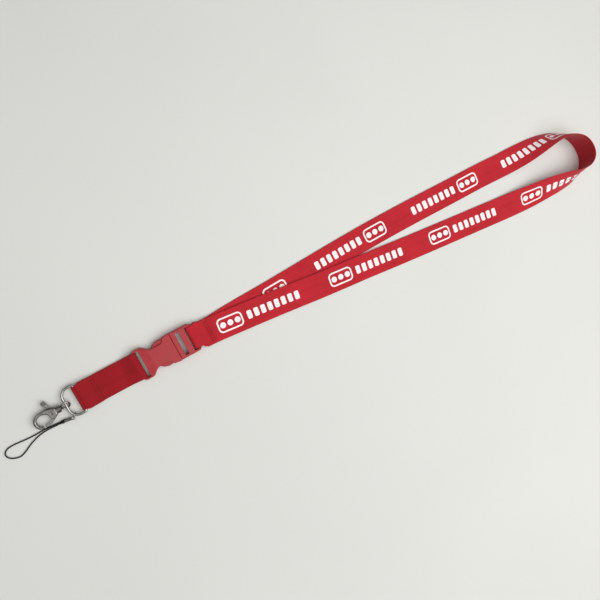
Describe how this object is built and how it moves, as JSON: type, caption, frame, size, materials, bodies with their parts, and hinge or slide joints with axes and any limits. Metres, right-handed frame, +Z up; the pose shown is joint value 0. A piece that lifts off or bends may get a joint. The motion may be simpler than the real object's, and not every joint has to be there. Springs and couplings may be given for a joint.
{
  "type": "neck lanyard",
  "caption": "Red webbing neck lanyard with a side-release buckle, a short detachable strap, a D-ring with a swivel trigger hook, and a thin phone string.",
  "frame": {"origin": "the flat underside of the buckle, at the middle of the buckle, on the plane the lanyard lies on", "axes": "+X from the hook towards the neck loop, along the buckle; +Z up, out of the buckle's top face"},
  "size_m": [0.5162, 0.0561, 0.0204],
  "materials": {
    "webbing": "woven polyester, matte",
    "thread": "polyester thread",
    "buckle_plastic": "semi-matte acetal",
    "nickel_wire": "nickel plated",
    "nickel_cast": "nickel plated casting",
    "spring_steel": "drawn wire",
    "cord_black": "braided cord"
  },
  "bodies": {
    "neck": {"neck_strap": "webbing", "neck_anchor_loop": "webbing", "anchor_stitch_outer": "thread", "anchor_stitch_inner": "thread"},
    "plug": {"plug_body": "buckle_plastic"},
    "arm_left": {"plug_arm_left": "buckle_plastic"},
    "arm_right": {"plug_arm_right": "buckle_plastic"},
    "socket": {"buckle_socket": "buckle_plastic"},
    "short_strap": {"short_strap": "webbing", "short_strap_tail": "webbing", "short_strap_stitch": "thread"},
    "d_ring": {"d_ring": "nickel_wire"},
    "swivel": {"swivel_eye": "nickel_cast"},
    "hook": {"hook_body": "nickel_cast", "gate_pin": "nickel_wire", "gate_spring": "spring_steel"},
    "gate": {"hook_gate": "nickel_cast"},
    "jump_ring": {"jump_ring": "nickel_wire"},
    "string": {"cord_crimp": "nickel_wire", "cord_bead": "cord_black", "phone_cord": "cord_black"}
  },
  "joints": [
    {"name": "plug_on_anchor", "type": "hinge", "parent": "neck", "child": "plug", "pos_m": [0.0207, 0, 0.0032], "axis": [0, 1, 0], "range_deg": [-75, 75]},
    {"name": "arm_left_squeeze", "type": "hinge", "parent": "plug", "child": "arm_left", "pos_m": [0.0062, 0.0073, 0.0032], "axis": [0, 0, 1], "range_deg": [0, 11.5], "stiffness_Nm_per_rad": 0.08},
    {"name": "arm_right_squeeze", "type": "hinge", "parent": "plug", "child": "arm_right", "pos_m": [0.0062, -0.0073, 0.0032], "axis": [0, 0, -1], "range_deg": [0, 11.5], "stiffness_Nm_per_rad": 0.08},
    {"name": "buckle_release", "type": "slide", "parent": "plug", "child": "socket", "axis": [-1, 0, 0], "range_m": [0, 0.03], "deforming": ["plug_arm_left", "plug_arm_right"]},
    {"name": "short_strap_on_socket", "type": "hinge", "parent": "socket", "child": "short_strap", "pos_m": [-0.0222, 0, 0.0032], "axis": [0, 1, 0], "range_deg": [-75, 75]},
    {"name": "d_ring_in_fold", "type": "hinge", "parent": "short_strap", "child": "d_ring", "pos_m": [-0.06675, 0, 0.0026], "axis": [0, 1, 0], "range_deg": [-75, 75]},
    {"name": "eye_on_d_ring", "type": "hinge", "parent": "d_ring", "child": "swivel", "pos_m": [-0.0766, 0, 0.0026], "axis": [0, 1, 0], "range_deg": [-60, 60]},
    {"name": "hook_swivel", "type": "hinge", "parent": "swivel", "child": "hook", "pos_m": [-0.0807, 0, 0.00285], "axis": [1, 0, 0], "continuous": true},
    {"name": "gate_open", "type": "hinge", "parent": "hook", "child": "gate", "pos_m": [-0.0862, -0.0006, 0.00285], "axis": [0, 0, -1], "range_deg": [0, 28], "stiffness_Nm_per_rad": 0.004, "springref_deg": -20.05},
    {"name": "jump_ring_on_bow", "type": "hinge", "parent": "d_ring", "child": "jump_ring", "pos_m": [-0.07484, -0.00859, 0.0026], "axis": [0.7071, -0.7071, 0], "range_deg": [-40, 40]},
    {"name": "string_on_ring", "type": "hinge", "parent": "jump_ring", "child": "string", "pos_m": [-0.0765, -0.0103, 0.0026], "axis": [0, 0, 1], "range_deg": [-10, 10]}
  ]
}
